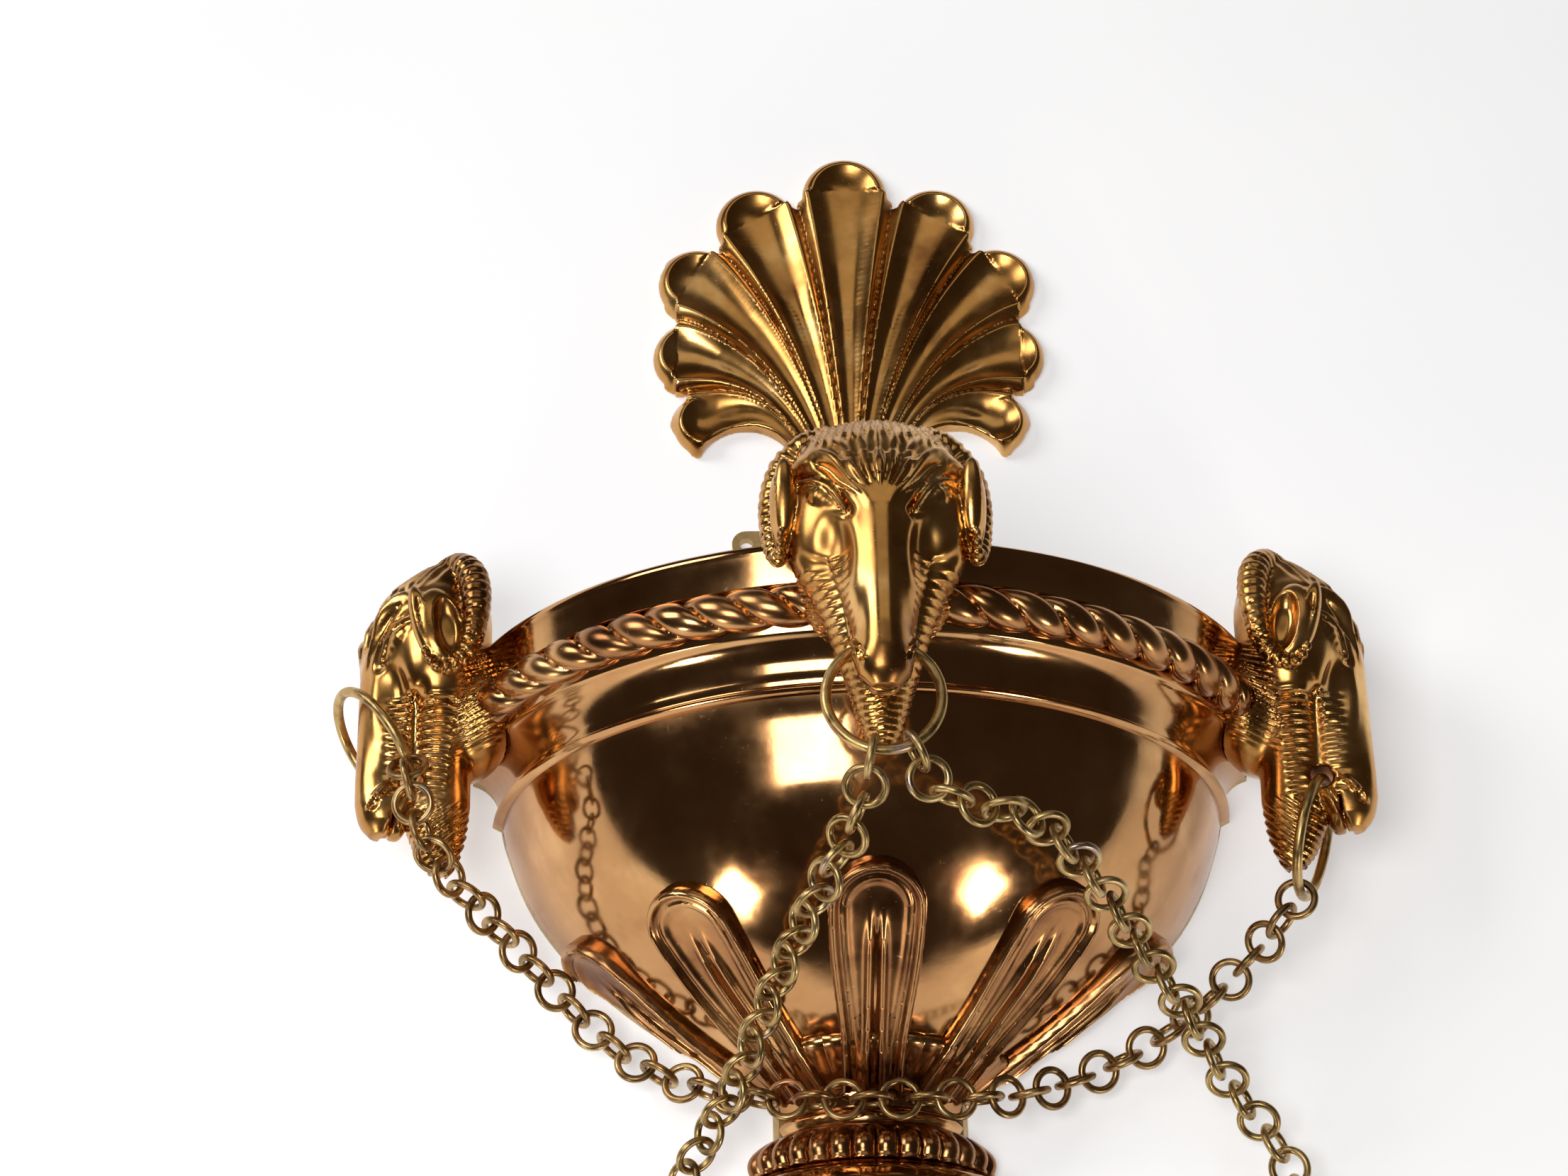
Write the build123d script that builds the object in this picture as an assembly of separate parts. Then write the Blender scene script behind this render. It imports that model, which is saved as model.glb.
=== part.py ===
from build123d import *
import os
from math import atan2, cos, degrees, radians, sin, sqrt

# Wall lamp in the Empire style: a part-round bowl with three ram heads, a palmette crest
# above it, a leaf calyx, a gadrooned knop and a drop finial below it, and two chains that
# hang from rings in the rams' muzzles. Millimetres. The wall is the plane Y = 0 and the
# lamp stands out from it towards -Y. +Z is up, and Z = 0 is the level of the bowl's rim.
os.makedirs("parts", exist_ok=True)

# ---- driving dimensions ----
AXIS_Y = 8.0            # turning axis of the bowl, a little behind the wall plane
RIM_R = 100.0           # bowl radius at the rim
ARRIS_R, ARRIS_Z = 89.8, -30.4
WALL_T = 2.2            # thickness of the bowl's metal
BACK_T = 3.0            # thickness of the back plate
NECK_R = 24.0
NECK_TOP, NECK_END = -100.5, -110.0
ROPE_R, ROPE_WIRE, ROPE_Z = 98.3, 4.9, -14.6
SIDE_AZIMUTH = 71.0     # angle of the side heads round the bowl from the front
HOLE_R, HOLE_Z = 114.0, -33.0   # cross-hole through each muzzle, for the ring
HOLE_BORE = 2.5
RING_WIRE = 1.2
FRONT_RING_R, SIDE_RING_R = 12.3, 13.9
RING_DROP = 0.55        # hinge line below the top of the ring's wire
LINK_R, LINK_WIRE = 4.25, 0.85
LINK_PITCH = 6.4
EAR_X, EAR_Z = 27.3, 45.2       # wall-screw ears
EAR_R, EAR_HOLE = 3.6, 1.7
SCREW_R, SCREW_HEAD_R, SCREW_HEAD_H = 1.5, 2.8, 1.4
GLASS_Y, GLASS_R, GLASS_FLOOR, GLASS_TOP = -36.4, 28.0, -46.9, 6.0
LEFT_RING_LIFT = 143.0  # the left ring is turned up in front of the nose
LEFT_HOLD_ALONG = 135.0  # where the swag holds it, round from the ring's lowest point

BIG = 400.0
turn_axis = Axis((0, AXIS_Y, 0), (0, 0, 1))
# the part of space in front of the back plate, and in front of the wall
front_space = Location((0, -BACK_T - BIG / 2, 0)) * Box(BIG, BIG, BIG)
room_space = Location((0, -0.3 - BIG / 2, 0)) * Box(BIG, BIG, BIG)

# ---- bowl profile, radius and height from the rim down ----
BODY = [(87.6, -31.6), (86.0, -38.0), (81.5, -50.0), (74.0, -62.0), (61.5, -75.0),
        (47.0, -86.0), (33.0, -94.5), (NECK_R, NECK_TOP)]


def turned(face):
    """Solid of revolution about the bowl's axis, from a face drawn in XZ."""
    return Location((0, AXIS_Y, 0)) * revolve(face, Axis.Z)


def outer_bowl():
    """The bowl's outside as a filled solid."""
    lines = Polyline((0, 0), (RIM_R, 0), (RIM_R, -1.8), (98.6, -9.5), (95.4, -10.2), (94.8, -19.5))
    cove = ThreePointArc((94.8, -19.5), (89.4, -23.6), (88.2, -29.4))
    arris = Polyline((88.2, -29.4), (ARRIS_R, ARRIS_Z), BODY[0])
    body = Spline(*BODY, tangents=((-0.12, -1), (-1, -0.62)))
    close = Polyline((NECK_R, NECK_TOP), (NECK_R, NECK_END), (0, NECK_END), (0, 0))
    return turned(make_face(Plane.XZ * (lines + cove + arris + body + close)))


def inner_bowl():
    """The bowl's hollow, with a floor above the neck."""
    top = Polyline((0, 1), (RIM_R - WALL_T, 1), (RIM_R - WALL_T, 0), (92.4, -11.0), (92.2, -19.0), (85.6, -26.5))
    body = Spline((85.6, -26.5), (83.8, -38.0), (79.2, -49.5), (71.8, -60.8), (59.5, -73.4), (45.2, -84.2),
                  (31.0, -92.4))
    close = Polyline((31.0, -92.4), (0, -92.4), (0, 1))
    return turned(make_face(Plane.XZ * (top + body + close)))


def at_azimuth(shape, azimuth):
    """Turn a shape that is built at the front round the bowl's axis."""
    return shape.rotate(turn_axis, azimuth)


def out_point(radius, z, azimuth=0.0, lateral=0.0):
    """Point at a radius from the bowl's axis, with a step sideways along the bowl."""
    a = radians(azimuth)
    return Vector(radius * sin(a) + lateral * cos(a), AXIS_Y - radius * cos(a) + lateral * sin(a), z)


def save(name, *solids):
    """Write one node, as one solid or as a group of separate solids."""
    flat = [s for item in solids for s in item.solids()]
    export_step(flat[0] if len(flat) == 1 else Compound(children=flat), f"parts/{name}.step")


def back_screw(x, z, length):
    """Countersunk screw driven from the wall side, its head flush with Y = 0."""
    to_front = Rotation(90, 0, 0)
    head = Location((x, -SCREW_HEAD_H / 2, z)) * to_front * Cone(SCREW_HEAD_R, SCREW_R, SCREW_HEAD_H)
    shank = Location((x, -length / 2, z)) * to_front * Cylinder(SCREW_R, length)
    return head + shank


# ---- bowl, back plate and what fastens them ----
filled = outer_bowl()
shell = (filled - inner_bowl()) & front_space
plate = filled & (Location((0, -BACK_T / 2, -BIG / 2 + 3)) * Box(BIG, BACK_T, BIG))
NECK_W, PLATE_TOP = 30.0, 63.0
plate += Location((0, -BACK_T / 2, (PLATE_TOP - 6) / 2)) * Box(NECK_W, BACK_T, PLATE_TOP + 6)
plate += Location((0, -BACK_T / 2, EAR_Z)) * Box(2 * EAR_X, BACK_T, 2 * EAR_R)
ears = [Location((s * EAR_X, -BACK_T / 2, EAR_Z)) * Rotation(90, 0, 0) for s in (-1, 1)]
for ear in ears:
    plate += ear * Cylinder(EAR_R, BACK_T)
for ear in ears:
    plate -= ear * Cylinder(EAR_HOLE, BACK_T * 3)

TAB_Z = (-14.0, -62.0)
TAB_X = (84.0, 61.0)
tabs = []
tab_screws = []
for side in (-1, 1):
    for tab_x, tab_z in zip(TAB_X, TAB_Z):
        tab = Location((side * (tab_x + 3), -BACK_T - 3.5, tab_z)) * Box(14, 7, 9)
        tabs.append((tab - shell) & inner_bowl())
        tab_screws.append(back_screw(side * tab_x, tab_z, 8.5))
tabs = [t - s for t, s in zip(tabs, tab_screws)]

# ---- palmette crest: nine lobes that spring from one stem ----
CREST_T = 5.2
CREST_ROOT_Z = 52.0
# lobe tips on the right half: centre x, centre z, tip radius
LOBES = [(0.0, 150.2, 11.4), (23.6, 141.2, 10.6), (40.0, 123.2, 10.0), (41.5, 101.0, 9.6), (34.8, 81.2, 9.2)]


def crest_outline():
    """Flat face of the palmette in XZ: a fan of tapered lobes with round ends."""
    face = None
    for x, z, r in LOBES:
        for side in ((1,) if x == 0 else (-1, 1)):
            root_half = 3.2
            dx, dz = side * x, z - CREST_ROOT_Z
            length = sqrt(dx * dx + dz * dz)
            nx, nz = dz / length, -dx / length
            wedge = Plane.XZ * make_face(Polyline(
                (-nx * root_half, CREST_ROOT_Z - nz * root_half), (dx - nx * r, z - nz * r),
                (dx + nx * r, z + nz * r), (nx * root_half, CREST_ROOT_Z + nz * root_half), close=True))
            tip = Plane.XZ * (Location((dx, z)) * Circle(r))
            face = wedge + tip if face is None else face + wedge + tip
    web = [(0, 152), (11, 146.5), (24, 144), (32.6, 134.6), (41, 126), (44, 113.6), (46, 101), (43.6, 90.2),
           (36, 80), (29, 75.5), (19, 71), (12, 58)]
    web += [(-x, z) for x, z in reversed(web) if x > 0]
    return face + Plane.XZ * make_face(Polyline(*web, close=True))


crest = extrude(crest_outline(), CREST_T)
stem = Location((0, -CREST_T / 2, 62)) * Box(26, CREST_T, 26)
tongue = Location((0, -BACK_T - 2.4, 54)) * Box(22, 4.8, 30)
lower_cut = [Location((s * 27.0, -CREST_T / 2, 56.5)) * Rotation(90, 0, 0) * Cylinder(13.5, CREST_T * 3)
             for s in (-1, 1)]
crest = crest + stem
for cut in lower_cut:
    crest -= cut
crest = crest + tongue - (Location((0, -BACK_T / 2, PLATE_TOP / 2)) * Box(BIG, BACK_T, PLATE_TOP + 0.4))
crest_screws = [back_screw(0, z, 6.8) for z in (46.0, 57.0)]
for screw in crest_screws:
    crest -= screw

# ---- rope moulding ----
rope = (Location((0, AXIS_Y, ROPE_Z)) * Torus(ROPE_R, ROPE_WIRE) - filled) & front_space


# ---- ram heads ----
def loft_ellipses(sections):
    """Loft through level ellipses: height, distance from the axis, half width, half depth."""
    faces = [Location((0, AXIS_Y - radius, z)) * Ellipse(half_w, half_d)
             for z, radius, half_w, half_d in sections]
    return loft(faces)


def ram_head():
    """A head at the front: horned cranium, straight snout and a combed beard."""
    cranium = loft_ellipses([(24.6, 108.5, 11.0, 5.0), (20.5, 109.2, 20.5, 9.6), (10.0, 111.2, 26.2, 13.2),
                             (-2.0, 112.6, 25.4, 14.0), (-12.0, 112.6, 20.5, 13.6), (-21.0, 112.4, 13.0, 12.4)])
    snout = loft_ellipses([(-2.0, 117.0, 11.5, 9.6), (-14.0, 117.2, 9.0, 9.0), (-24.0, 117.2, 7.2, 8.0),
                           (-33.0, 116.4, 5.7, 7.8), (-40.0, 116.6, 6.2, 6.0), (-45.4, 116.6, 4.4, 3.2)])
    beard = loft_ellipses([(-2.0, 105.6, 20.0, 7.6), (-16.0, 104.8, 17.0, 6.4), (-30.0, 104.2, 11.5, 5.0),
                           (-42.0, 103.6, 7.0, 3.8), (-52.0, 102.8, 3.0, 1.8)])
    head = cranium + snout + beard
    hole = Location((0, AXIS_Y - HOLE_R, HOLE_Z)) * Rotation(0, 90, 0) * Cylinder(HOLE_BORE, 40)
    return head - hole


HEAD_SCREW_Z = -15.0


def head_screw():
    """Round-head screw from inside the bowl, through the wall and the rope, into the head."""
    along = Rotation(90, 0, 0)
    shank = Location((0, AXIS_Y - 98.8, HEAD_SCREW_Z)) * along * Cylinder(1.6, 15.6)
    knob = Location((0, AXIS_Y - 90.2, HEAD_SCREW_Z)) * along * Cylinder(3.4, 2.2)
    return shank + knob


HEADS = {"front": 0.0, "left": -SIDE_AZIMUTH, "right": SIDE_AZIMUTH}
base_head = ram_head()
heads = {}
screws = {}
for side, azimuth in HEADS.items():
    screws[side] = at_azimuth(head_screw(), azimuth)
    heads[side] = (at_azimuth(base_head, azimuth) & room_space) - filled - rope - screws[side]
for side in HEADS:
    shell -= screws[side]
    rope -= screws[side]

# ---- leaf calyx under the bowl ----
LEAF_T = 2.6
LEAF_AZIMUTHS = (-74, -39, 0, 39, 74)
LEAF_HALF, LEAF_ROOT_HALF = 11.4, 6.0
LEAF_TIP_R, LEAF_ROOT_R = 59.0, 24.0   # distance from the bowl's axis


def calyx():
    """Broad tongue leaves on the bowl's underside that run together in a collar."""
    outside = [(NECK_R + LEAF_T, NECK_TOP - 0.6), (35.6, -95.8), (49.0, -88.0), (63.8, -76.6), (76.6, -63.0),
               (80.5, -57.4)]
    inside = [(78.2, -56.0), (74.0, -62.0), (61.5, -75.0), (47.0, -86.0), (33.0, -94.5), (NECK_R, NECK_TOP)]
    lower = Spline(*outside)
    upper = Spline(*inside)
    ends = Line(outside[-1], inside[0]) + Line(inside[-1], outside[0])
    skin = turned(make_face(Plane.XZ * (lower + upper + ends))) - filled
    stencil = None
    for azimuth in LEAF_AZIMUTHS:
        tip = Location((0, AXIS_Y - LEAF_TIP_R, 0)) * Circle(LEAF_HALF)
        blade = make_face(Polyline((-LEAF_HALF, AXIS_Y - LEAF_TIP_R), (-LEAF_ROOT_HALF, AXIS_Y - LEAF_ROOT_R),
                                   (LEAF_ROOT_HALF, AXIS_Y - LEAF_ROOT_R), (LEAF_HALF, AXIS_Y - LEAF_TIP_R),
                                   close=True))
        leaf = at_azimuth(extrude(tip + blade, -BIG / 2, both=False), azimuth)
        stencil = leaf if stencil is None else stencil + leaf
    collar = Location((0, AXIS_Y, -BIG / 4)) * Cylinder(34.0, BIG / 2)
    return (skin & (stencil + collar)) & front_space


leaves = calyx()

# ---- knop, boss and finial, one below the other ----
KNOP_TOP, KNOP_END = NECK_END, -119.5
knop_profile = make_face(Plane.XZ * (Polyline((0, KNOP_END), (0, KNOP_TOP), (24.6, KNOP_TOP))
                                     + Spline((24.6, KNOP_TOP), (28.4, -111.8), (30.2, -115.6), (28.6, KNOP_END))
                                     + Line((28.6, KNOP_END), (0, KNOP_END))))
knop = turned(knop_profile) & room_space
GADROONS = 18
for k in range(GADROONS):
    lobe_azimuth = -90 + k * 180 / GADROONS
    flute = Location(out_point(31.0, -115.0, lobe_azimuth)) * Cylinder(1.1, 12)
    knop -= flute
BOSS_END = -137.0
boss = turned(make_face(Plane.XZ * (Polyline((0, BOSS_END), (0, KNOP_END), (28.6, KNOP_END))
                                    + Spline((28.6, KNOP_END), (35.0, -122.6), (36.5, -127.0), (33.0, -132.6),
                                             (22.0, BOSS_END))
                                    + Line((22.0, BOSS_END), (0, BOSS_END))))) & room_space
FINIAL_END = -176.0
finial = turned(make_face(Plane.XZ * (Polyline((0, FINIAL_END), (0, BOSS_END), (20.0, BOSS_END))
                                      + Spline((20.0, BOSS_END), (17.6, -141.0), (21.6, -147.0), (22.4, -153.0),
                                               (18.6, -162.0), (13.8, -169.0), (11.2, FINIAL_END))
                                      + Line((11.2, FINIAL_END), (0, FINIAL_END))))) & room_space

# one rod behind the neck draws the knop, the boss and the finial up to the bowl
ROD_Y, ROD_R = -7.5, 2.0
ROD_TOP, ROD_END = -83.0, -164.0
rod = Location((0, ROD_Y, (ROD_TOP + ROD_END) / 2)) * Cylinder(ROD_R, ROD_TOP - ROD_END)
nut_blank = Location((0, ROD_Y, 0)) * extrude(RegularPolygon(3.8, 6), 3.2)
FLOOR_Z = -92.4
washer = Location((0, ROD_Y, FLOOR_Z + 0.6)) * (Cylinder(4.3, 1.2) - Cylinder(ROD_R, 3))
nut = Location((0, 0, FLOOR_Z + 1.2)) * nut_blank - rod
shell -= rod
leaves -= rod
knop -= rod
boss -= rod
finial -= rod

# ---- lamp fittings inside the bowl ----
BRACKET_TOP = GLASS_FLOOR - 0.1
bracket = Location((0, GLASS_Y, BRACKET_TOP - 1.25)) * Cylinder(GLASS_R + 3.4, 2.5)
bracket += Location((0, -7.0, BRACKET_TOP - 1.25)) * Box(30, 8, 2.5)
bracket += Location((0, GLASS_Y, BRACKET_TOP + 2.5)) * (Cylinder(GLASS_R + 3.4, 5) - Cylinder(GLASS_R + 1.0, 6))
bracket += Location((0, -BACK_T - 1.25, BRACKET_TOP - 7.0)) * Box(30, 2.5, 14)
bracket = bracket & front_space
bracket_screws = [back_screw(x, BRACKET_TOP - 9.5, 5.6) for x in (-9.5, 9.5)]
for screw in bracket_screws:
    bracket -= screw
GLASS_T = 2.0
glass_h = GLASS_TOP - GLASS_FLOOR
glass = Location((0, GLASS_Y, GLASS_FLOOR + glass_h / 2)) * Cylinder(GLASS_R, glass_h)
glass -= Location((0, GLASS_Y, GLASS_FLOOR + 3 + glass_h / 2)) * Cylinder(GLASS_R - GLASS_T, glass_h)
CANDLE_R, CANDLE_H = 24.5, 30.0
candle_z = GLASS_FLOOR + 3
candle = Location((0, GLASS_Y, candle_z + CANDLE_H / 2)) * Cylinder(CANDLE_R, CANDLE_H)
wick = Location((0, GLASS_Y, candle_z + CANDLE_H + 1)) * Cylinder(0.9, 14)
candle -= wick

# ---- screws into the back plate ----
for screw in tab_screws + crest_screws + bracket_screws:
    plate -= screw


# ---- rings ----
def muzzle_ring(radius, azimuth, lift=0.0):
    """Ring through a muzzle. Lift turns it outwards and up from hanging, in degrees."""
    centre_z = HOLE_Z - radius + RING_DROP
    ring = Location((0, AXIS_Y - HOLE_R, centre_z)) * Rotation(90, 0, 0) * Torus(radius, RING_WIRE)
    ring = ring.rotate(Axis((0, AXIS_Y - HOLE_R, HOLE_Z), (-1, 0, 0)), lift)
    return at_azimuth(ring, azimuth)


RIGHT_RING_LIFT = -17.5  # the chain draws this ring in towards the bowl
front_ring = muzzle_ring(FRONT_RING_R, 0)
left_ring = muzzle_ring(SIDE_RING_R, -SIDE_AZIMUTH, LEFT_RING_LIFT)
right_ring = muzzle_ring(SIDE_RING_R, SIDE_AZIMUTH, RIGHT_RING_LIFT)


def ring_bottom(radius, azimuth, lift, along=0.0):
    """Point on the ring's wire, along degrees round from its lowest point, and its wire direction."""
    b, t = radians(along), radians(lift)
    down = radius * (1 + cos(b)) - RING_DROP
    side = radius * sin(b)
    point = out_point(HOLE_R + down * sin(t), HOLE_Z - down * cos(t), azimuth, side)
    ahead = out_point(HOLE_R + (down - 0.1 * sin(b)) * sin(t), HOLE_Z - (down - 0.1 * sin(b)) * cos(t), azimuth,
                      side + 0.1 * cos(b))
    return point, (ahead - point).normalized()


# ---- chains of round wire links ----
END_GAP = LINK_R - LINK_WIRE - RING_WIRE - 0.45   # an end link's centre, beyond the wire that holds it


def hang_from(point, wire, direction):
    """Centre of the end link on a ring's wire, and the way the chain leaves it."""
    away = (direction - wire * direction.dot(wire)).normalized()
    return point + away * END_GAP, away


def chain(points, start_away, end_away, first_axis, last_axis):
    """Links at an even pitch along a smooth route, each turned a quarter from its neighbour.

    They lie at 45 degrees to the first link's plane along the run, and turn back at both
    ends to hang square on their rings."""
    lead_in = Vector(*points[0]) + start_away * LEAD
    lead_out = Vector(*points[-1]) + end_away * LEAD
    route = Spline(points[0], lead_in, *points[1:-1], lead_out, points[-1])
    count = int(round(route.length / LINK_PITCH)) + 1
    frames = []
    guide = first_axis
    for i in range(count):
        t = i / (count - 1)
        tangent = {0: start_away, count - 1: -end_away}.get(i, (route % t).normalized())
        guide = (guide - tangent * guide.dot(tangent)).normalized()
        frames.append((route @ t, tangent, guide, tangent.cross(guide)))
    tangent, guide, across = frames[-1][1:]
    end_angle = degrees(atan2(last_axis.dot(across), last_axis.dot(guide)))
    spare = (end_angle - 90 * (count - 1)) % 180
    spare = spare - 180 if spare > 90 else spare
    links = []
    for i, (place, tangent, guide, across) in enumerate(frames):
        lean = LEAN * max(0.0, min(1.0, (i - 1) / LEAN_LINKS, (count - 2 - i) / LEAN_LINKS))
        angle = radians(90 * i + lean + spare * i / (count - 1))
        axis = guide * cos(angle) + across * sin(angle)
        links.append(Plane(origin=place, x_dir=tangent, z_dir=axis) * Torus(LINK_R, LINK_WIRE))
    return links


LEAN, LEAN_LINKS = 45.0, 5
LEAD = 1.2 * LINK_PITCH   # the first and last links run straight out this far
front_start, front_start_wire = ring_bottom(FRONT_RING_R, 0, 0, -13)
front_end, front_end_wire = ring_bottom(FRONT_RING_R, 0, 0, 28)
first_front, front_away = hang_from(front_start, front_start_wire, Vector(-0.1, 0.6, -0.8))
last_front, front_back = hang_from(front_end, front_end_wire, Vector(0.5, 0.3, -0.7))
front_route = [first_front, (-7.5, -92, -70), (-13, -79, -77), (-20, -61, -86), (-27, -40, -97),
               (-33.5, -24.5, -107.5), (-42, -12, -119),
               (-49, -7, -137), (-49, -6, -160), (-31, -6, -188), (4, -6, -199), (42, -6, -192), (77, -6, -170),
               (96, -6, -142), (95, -7.5, -118),
               (87, -12, -107), (78.5, -21, -98.5), (71, -33, -90.5), (62, -46, -84), (53, -61, -77),
               (42, -78, -70), (28, -93, -66), last_front]
left_hold, left_wire = ring_bottom(SIDE_RING_R, -SIDE_AZIMUTH, LEFT_RING_LIFT, LEFT_HOLD_ALONG)
right_hold, right_wire = ring_bottom(SIDE_RING_R, SIDE_AZIMUTH, RIGHT_RING_LIFT)
first_swag, swag_away = hang_from(left_hold, left_wire, Vector(0.15, -0.35, -0.9))
last_swag, swag_back = hang_from(right_hold, right_wire, Vector(-0.55, 0.3, -0.75))
swag_route = [first_swag, (-101, -40, -51), (-92, -29, -60), (-82, -18, -68), (-73, -11.5, -76),
              (-64, -9, -85), (-54, -9.5, -93), (-42, -13, -99.5), (-26, -18.5, -104.5), (-9, -21.4, -106),
              (9, -21.4, -106), (26, -18.5, -105), (40, -11.5, -101), (52, -8, -96), (64, -7.5, -90),
              (76, -9, -82), (87, -15, -73), last_swag]
front_links = chain(front_route, front_away, front_back, front_start_wire, front_end_wire)
swag_links = chain(swag_route, swag_away, swag_back, left_wire, right_wire)

# ---- write the nodes ----
save("bowl_shell", shell)
save("back_plate", plate)
save("bowl_tabs", *tabs)
save("tab_screws", *tab_screws)
save("palmette_crest", crest)
save("crest_screws", *crest_screws)
save("rope_moulding", rope)
for side in HEADS:
    save(f"ram_head_{side}", heads[side])
    save(f"head_screw_{side}", screws[side])
save("leaf_calyx", leaves)
save("gadrooned_knop", knop)
save("turned_boss", boss)
save("drop_finial", finial)
save("tie_rod", rod)
save("tie_washer", washer)
save("tie_nut", nut)
save("glass_bracket", bracket)
save("bracket_screws", *bracket_screws)
save("glass_cup", glass)
save("candle", candle)
save("wick", wick)
save("ring_front", front_ring)
save("ring_left", left_ring)
save("ring_right", right_ring)
save("chain_front", *front_links)
save("chain_swag", *swag_links)
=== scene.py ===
import bpy
import numpy as np
from itertools import product
from math import acos, cos, pi, radians, sin
from mathutils import Matrix, Vector


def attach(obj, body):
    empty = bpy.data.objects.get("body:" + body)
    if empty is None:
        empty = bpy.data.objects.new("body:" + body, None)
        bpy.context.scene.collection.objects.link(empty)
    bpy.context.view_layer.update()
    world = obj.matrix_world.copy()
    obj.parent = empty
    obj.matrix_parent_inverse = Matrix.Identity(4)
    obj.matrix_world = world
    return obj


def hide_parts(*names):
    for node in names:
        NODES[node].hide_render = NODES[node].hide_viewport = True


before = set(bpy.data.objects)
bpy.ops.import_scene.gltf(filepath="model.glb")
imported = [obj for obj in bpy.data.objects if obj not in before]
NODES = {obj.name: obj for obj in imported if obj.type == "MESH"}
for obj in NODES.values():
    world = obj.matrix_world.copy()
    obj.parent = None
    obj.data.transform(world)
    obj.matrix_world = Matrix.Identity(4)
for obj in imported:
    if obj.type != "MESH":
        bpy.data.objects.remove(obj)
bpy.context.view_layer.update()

MM = 0.001

# ---- dimensions that the looks share with the CAD model, in millimetres ----
AXIS_Y = 8.0            # turning axis of the bowl, a little behind the wall
BACK_Y = -3.0           # front of the back plate
RIM_R = 100.0
SIDE_AZIMUTH = 71.0     # side heads, round the bowl from the front
HOLE_R, HOLE_Z = 114.0, -33.0   # hole through each muzzle for the ring
RING_R = 12.3           # front ring, to the middle of its wire
HEAD_DEPTH = 0.965      # keeps the heads inside the CAD model's depth
NECK_TOP, NECK_END, KNOP_END, BOSS_END, FINIAL_END = -100.5, -110.0, -119.5, -137.0, -176.0


# ---- materials ----
class Nodes:
    """A short way to write a material's node graph."""

    def __init__(self, name):
        self.material = bpy.data.materials.new(name)
        self.material.use_nodes = True
        self.tree = self.material.node_tree
        self.shader = self.tree.nodes["Principled BSDF"]
        self.object = self.add("ShaderNodeTexCoord").outputs["Object"]

    def add(self, kind, **values):
        node = self.tree.nodes.new(kind)
        for key, value in values.items():
            setattr(node, key, value)
        return node

    def link(self, source, target):
        self.tree.links.new(source, target)

    def noise(self, scale, detail=3.0, roughness=0.55, stretch=(1, 1, 1)):
        """Noise in the row frame; scale is in features per millimetre, about."""
        mapping = self.add("ShaderNodeMapping")
        mapping.inputs["Scale"].default_value = stretch
        self.link(self.object, mapping.inputs["Vector"])
        node = self.add("ShaderNodeTexNoise")
        node.inputs["Scale"].default_value = scale / MM
        node.inputs["Detail"].default_value = detail
        node.inputs["Roughness"].default_value = roughness
        self.link(mapping.outputs["Vector"], node.inputs["Vector"])
        return node.outputs["Fac"]

    def ramp(self, source, stops, smooth=True):
        """Colour ramp; each stop is a place and a colour or a grey."""
        node = self.add("ShaderNodeValToRGB")
        ramp = node.color_ramp
        ramp.interpolation = "EASE" if smooth else "LINEAR"
        while len(ramp.elements) < len(stops):
            ramp.elements.new(0.5)
        for element, (place, colour) in zip(ramp.elements, stops):
            element.position = place
            element.color = (*colour, 1) if isinstance(colour, tuple) else (colour,) * 3 + (1,)
        self.link(source, node.inputs["Fac"])
        return node.outputs["Color"]

    def mix(self, factor, a, b, blend="MIX"):
        node = self.add("ShaderNodeMix", data_type="RGBA", blend_type=blend)
        for value, socket in ((factor, node.inputs[0]), (a, node.inputs[6]), (b, node.inputs[7])):
            if isinstance(value, (int, float)) and socket is node.inputs[0]:
                socket.default_value = value
            elif isinstance(value, tuple):
                socket.default_value = (*value, 1)
            else:
                self.link(value, socket)
        return node.outputs[2]

    def attribute(self, name):
        return self.add("ShaderNodeAttribute", attribute_name=name).outputs["Fac"]

    def bump(self, *layers):
        """Layers of (height, strength, distance in millimetres), the first the deepest."""
        normal = None
        for height, strength, distance in layers:
            node = self.add("ShaderNodeBump")
            node.inputs["Strength"].default_value = strength
            node.inputs["Distance"].default_value = distance * MM
            self.link(height, node.inputs["Height"])
            if normal is not None:
                self.link(normal, node.inputs["Normal"])
            normal = node.outputs["Normal"]
        self.link(normal, self.shader.inputs["Normal"])

    def set(self, **values):
        for key, value in values.items():
            socket = self.shader.inputs[key.replace("_", " ")]
            if isinstance(value, (int, float)):
                socket.default_value = value
            elif isinstance(value, tuple):
                socket.default_value = (*value, 1)
            else:
                self.link(value, socket)


def gilt(name, dark, mid, light, smooth=0.19, rough=0.36, patina=(0.07, 0.03, 0.012), dust=0.25, grain=0.6):
    """Copper-gold bronze: cloudy colour, dark lacquer in the hollows, worn ridges and fine dust."""
    m = Nodes(name)
    cloud = m.noise(0.035, 4, 0.6)
    colour = m.ramp(cloud, [(0.3, dark), (0.5, mid), (0.72, light)])
    cavity = m.attribute("cavity")
    hollow = m.ramp(cavity, [(0.5, 0.0), (0.8, 1.0)])
    ridge = m.ramp(cavity, [(0.2, 1.0), (0.47, 0.0)])
    colour = m.mix(hollow, colour, patina)
    colour = m.mix(ridge, colour, light)
    specks = m.ramp(m.noise(1.1, 2, 0.4), [(0.70, 0.0), (0.74, dust)])
    colour = m.mix(specks, colour, (0.62, 0.48, 0.36))
    wear = m.noise(grain, 3, 0.6)
    haze = m.ramp(m.noise(0.06, 3, 0.6), [(0.35, smooth), (0.75, rough)])
    haze = m.mix(specks, haze, (0.6, 0.6, 0.6))
    haze = m.mix(hollow, haze, (0.42, 0.42, 0.42))
    m.set(Base_Color=colour, Metallic=1.0, Roughness=haze)
    m.bump((m.noise(0.12, 3, 0.5), 0.12, 0.25), (wear, 0.1, 0.06))
    return m.material


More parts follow.
